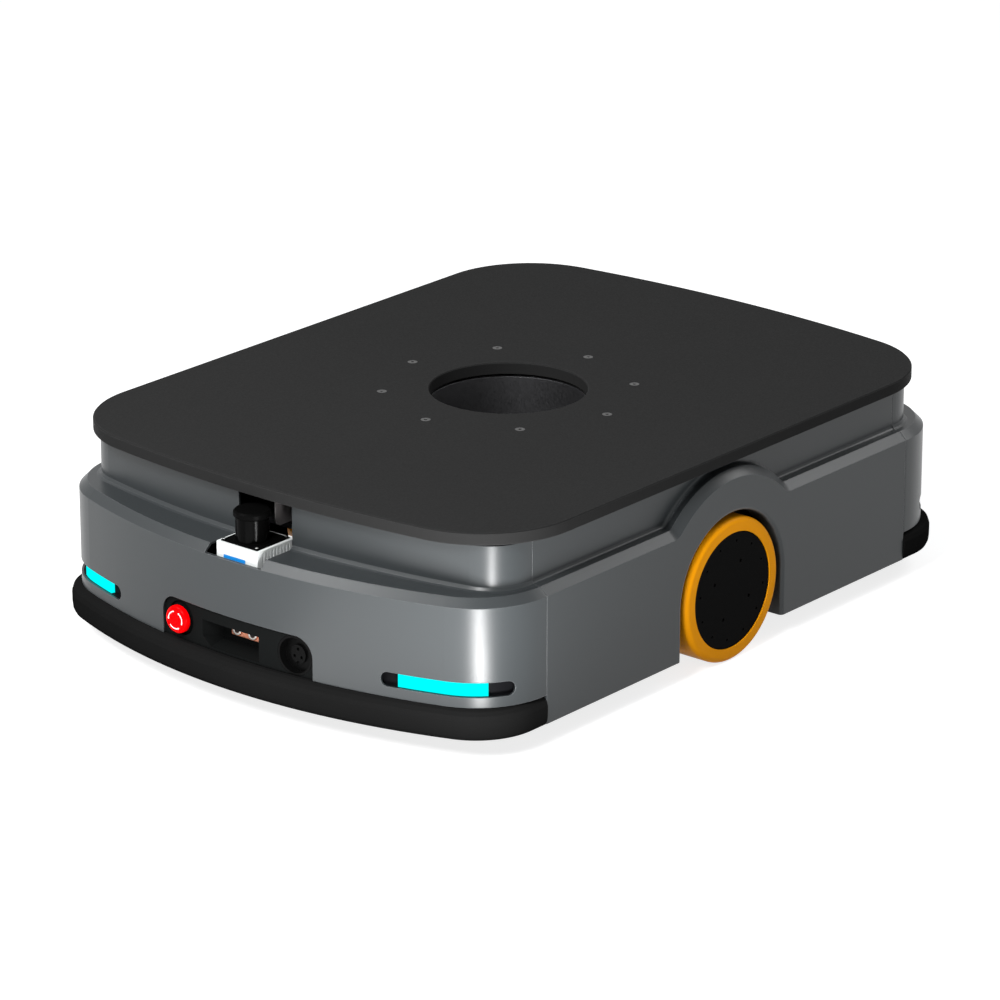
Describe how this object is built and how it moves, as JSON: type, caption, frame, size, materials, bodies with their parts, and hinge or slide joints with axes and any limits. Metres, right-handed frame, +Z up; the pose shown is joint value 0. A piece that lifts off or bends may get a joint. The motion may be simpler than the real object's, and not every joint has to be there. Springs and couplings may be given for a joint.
{
  "type": "jack-up autonomous mobile robot",
  "caption": "Low differential-drive mobile robot with sprung drive wheels, casters, rising turntable plate, front scanner, stop button, charging port and corner lights.",
  "frame": {"origin": "on the floor midway between the drive wheels, plate lowered", "axes": "+X forward (scanner and stop button end), +Y left, +Z up"},
  "size_m": [1.0166, 0.7, 0.269],
  "materials": {
    "cover_paint": "satin",
    "deck_black": "matte",
    "rubber_black": "matte",
    "frame_paint": "matte",
    "steel": "satin",
    "dark_steel": "satin",
    "alloy": "satin",
    "black_plastic": "matte",
    "black_gloss": "gloss",
    "tyre_orange": "satin",
    "cap_black": "satin",
    "light_cyan": "gloss",
    "copper": "satin",
    "stop_red": "gloss",
    "scanner_white": "satin",
    "grey_sheet": "satin",
    "battery_case": "satin",
    "caster_tread": "matte"
  },
  "bodies": {
    "chassis": {"cover_left": "cover_paint", "cover_right": "cover_paint", "cover_front": "cover_paint", "cover_rear": "cover_paint", "bumper_front": "rubber_black", "bumper_rear": "rubber_black", "light_housings": "black_plastic", "light_bars": "light_cyan", "chassis_floor": "frame_paint", "chassis_frame": "frame_paint", "top_deck": "frame_paint", "battery_pack": "battery_case", "controller_box": "alloy", "guide_column": "dark_steel", "nut_housing": "dark_steel", "lift_motor": "alloy", "camera_body": "black_plastic", "control_panel": "black_plastic", "charge_plate": "copper", "charge_socket": "black_plastic", "estop_body": "black_plastic", "scanner_base": "scanner_white", "scanner_window": "black_gloss", "scanner_covers": "black_gloss", "scanner_tray": "frame_paint", "scanner_bracket": "grey_sheet", "suspension_brackets": "dark_steel"},
    "suspension_left": {"arm_left": "dark_steel", "gearmotor_left": "alloy", "spring_left": "steel"},
    "drive_wheel_left": {"tyre_left": "tyre_orange", "hub_left": "alloy", "hub_cap_left": "cap_black"},
    "suspension_right": {"arm_right": "dark_steel", "gearmotor_right": "alloy", "spring_right": "steel"},
    "drive_wheel_right": {"tyre_right": "tyre_orange", "hub_right": "alloy", "hub_cap_right": "cap_black"},
    "caster_swivel_fl": {"caster_fork_fl": "steel"},
    "caster_roll_fl": {"caster_wheel_fl": "caster_tread"},
    "caster_swivel_fr": {"caster_fork_fr": "steel"},
    "caster_roll_fr": {"caster_wheel_fr": "caster_tread"},
    "caster_swivel_rl": {"caster_fork_rl": "steel"},
    "caster_roll_rl": {"caster_wheel_rl": "caster_tread"},
    "caster_swivel_rr": {"caster_fork_rr": "steel"},
    "caster_roll_rr": {"caster_wheel_rr": "caster_tread"},
    "lift_nut_ring": {"lift_nut": "steel"},
    "lift_drive_pinion": {"lift_pinion": "steel"},
    "lift_platform": {"lift_carriage": "dark_steel", "slew_ring_inner": "steel", "slew_ring_balls": "steel", "slew_motor": "alloy"},
    "turntable": {"load_plate": "deck_black", "plate_screws": "dark_steel", "slew_ring_outer": "steel"},
    "slew_drive_pinion": {"slew_pinion": "steel"},
    "estop_stem": {"estop_plunger": "black_plastic"},
    "estop_button": {"estop_head": "stop_red"},
    "scanner_spinner": {"scanner_rotor": "black_plastic"}
  },
  "joints": [
    {"name": "suspension_left_swing", "type": "hinge", "parent": "chassis", "child": "suspension_left", "pos_m": [0.132, 0.28, 0.07], "axis": [0, 1, 0], "range_deg": [-2.5, 2.5], "stiffness_Nm_per_rad": 400, "springref_deg": -4.3, "deforming": ["spring_left"]},
    {"name": "drive_wheel_left_spin", "type": "hinge", "parent": "suspension_left", "child": "drive_wheel_left", "pos_m": [0, 0.323, 0.09], "axis": [0, 1, 0], "continuous": true},
    {"name": "suspension_right_swing", "type": "hinge", "parent": "chassis", "child": "suspension_right", "pos_m": [0.132, -0.28, 0.07], "axis": [0, 1, 0], "range_deg": [-2.5, 2.5], "stiffness_Nm_per_rad": 400, "springref_deg": -4.3, "deforming": ["spring_right"]},
    {"name": "drive_wheel_right_spin", "type": "hinge", "parent": "suspension_right", "child": "drive_wheel_right", "pos_m": [0, -0.323, 0.09], "axis": [0, 1, 0], "continuous": true},
    {"name": "caster_swivel_fl_turn", "type": "hinge", "parent": "chassis", "child": "caster_swivel_fl", "pos_m": [0.37, 0.26, 0.1], "axis": [0, 0, 1], "continuous": true},
    {"name": "caster_roll_fl_spin", "type": "hinge", "parent": "caster_swivel_fl", "child": "caster_roll_fl", "pos_m": [0.345, 0.26, 0.035], "axis": [0, 1, 0], "continuous": true},
    {"name": "caster_swivel_fr_turn", "type": "hinge", "parent": "chassis", "child": "caster_swivel_fr", "pos_m": [0.37, -0.26, 0.1], "axis": [0, 0, 1], "continuous": true},
    {"name": "caster_roll_fr_spin", "type": "hinge", "parent": "caster_swivel_fr", "child": "caster_roll_fr", "pos_m": [0.345, -0.26, 0.035], "axis": [0, 1, 0], "continuous": true},
    {"name": "caster_swivel_rl_turn", "type": "hinge", "parent": "chassis", "child": "caster_swivel_rl", "pos_m": [-0.37, 0.26, 0.1], "axis": [0, 0, 1], "continuous": true},
    {"name": "caster_roll_rl_spin", "type": "hinge", "parent": "caster_swivel_rl", "child": "caster_roll_rl", "pos_m": [-0.395, 0.26, 0.035], "axis": [0, 1, 0], "continuous": true},
    {"name": "caster_swivel_rr_turn", "type": "hinge", "parent": "chassis", "child": "caster_swivel_rr", "pos_m": [-0.37, -0.26, 0.1], "axis": [0, 0, 1], "continuous": true},
    {"name": "caster_roll_rr_spin", "type": "hinge", "parent": "caster_swivel_rr", "child": "caster_roll_rr", "pos_m": [-0.395, -0.26, 0.035], "axis": [0, 1, 0], "continuous": true},
    {"name": "lift_nut_turn", "type": "hinge", "parent": "chassis", "child": "lift_nut_ring", "pos_m": [0, 0, 0.11], "axis": [0, 0, 1], "range_deg": [0, 2160]},
    {"name": "lift_pinion_turn", "type": "hinge", "parent": "chassis", "child": "lift_drive_pinion", "pos_m": [0.16, 0, 0.11], "axis": [0, 0, 1], "range_deg": [-10183, 0]},
    {"name": "lift_slide", "type": "slide", "parent": "chassis", "child": "lift_platform", "axis": [0, 0, 1], "range_m": [0, 0.06]},
    {"name": "turntable_turn", "type": "hinge", "parent": "lift_platform", "child": "turntable", "pos_m": [0, 0, 0.241], "axis": [0, 0, 1], "continuous": true},
    {"name": "slew_pinion_turn", "type": "hinge", "parent": "lift_platform", "child": "slew_drive_pinion", "pos_m": [-0.196, 0, 0.241], "axis": [0, 0, 1], "continuous": true},
    {"name": "estop_press", "type": "slide", "parent": "chassis", "child": "estop_stem", "axis": [-1, 0, 0], "range_m": [0, 0.004], "stiffness_N_per_m": 800, "springref_m": -0.003},
    {"name": "estop_twist", "type": "hinge", "parent": "estop_stem", "child": "estop_button", "pos_m": [0.494, -0.092, 0.091], "axis": [1, 0, 0], "range_deg": [0, 45], "stiffness_Nm_per_rad": 0.05},
    {"name": "scanner_spin", "type": "hinge", "parent": "chassis", "child": "scanner_spinner", "pos_m": [0.461, -0.001, 0.215], "axis": [0, 0, 1], "continuous": true}
  ],
  "couplings": [
    {"joint": "lift_pinion_turn", "follows": "lift_nut_turn", "ratio": -4.7143},
    {"joint": "lift_slide", "follows": "lift_nut_turn", "m_per_rad": 0.0015915},
    {"joint": "slew_pinion_turn", "follows": "turntable_turn", "ratio": -6}
  ]
}
